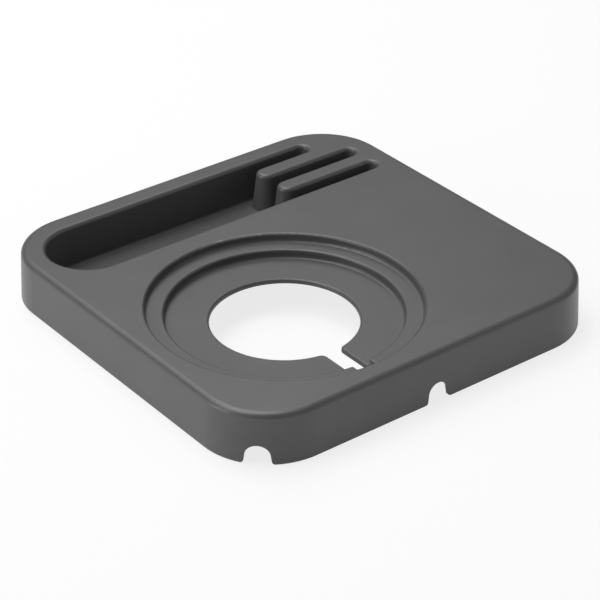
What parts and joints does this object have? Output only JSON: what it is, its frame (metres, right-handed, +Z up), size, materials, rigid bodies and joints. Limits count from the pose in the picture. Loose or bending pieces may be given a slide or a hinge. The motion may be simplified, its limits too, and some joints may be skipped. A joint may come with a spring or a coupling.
{
  "type": "hospitality kettle tray",
  "caption": "Square kettle tray with a stepped round seat for a power base, a cord hole and slot, a sachet trough with finned slots and arches that let the cord out.",
  "frame": {"origin": "middle of the footprint, on the surface that the feet stand on", "axes": "+Z up, +Y towards the side with the sachet trough, +X towards the closed ends of the sachet slots"},
  "size_m": [0.2834, 0.2834, 0.0348],
  "materials": {
    "shell_plastic": "fine matt texture, moulded in",
    "foot_rubber": "smooth dull rubber"
  },
  "bodies": {
    "root": {"tray_shell": "shell_plastic", "foot_back_left": "foot_rubber", "foot_back_right": "foot_rubber", "foot_front_left": "foot_rubber", "foot_front_right": "foot_rubber", "foot_side_left": "foot_rubber"}
  },
  "joints": []
}
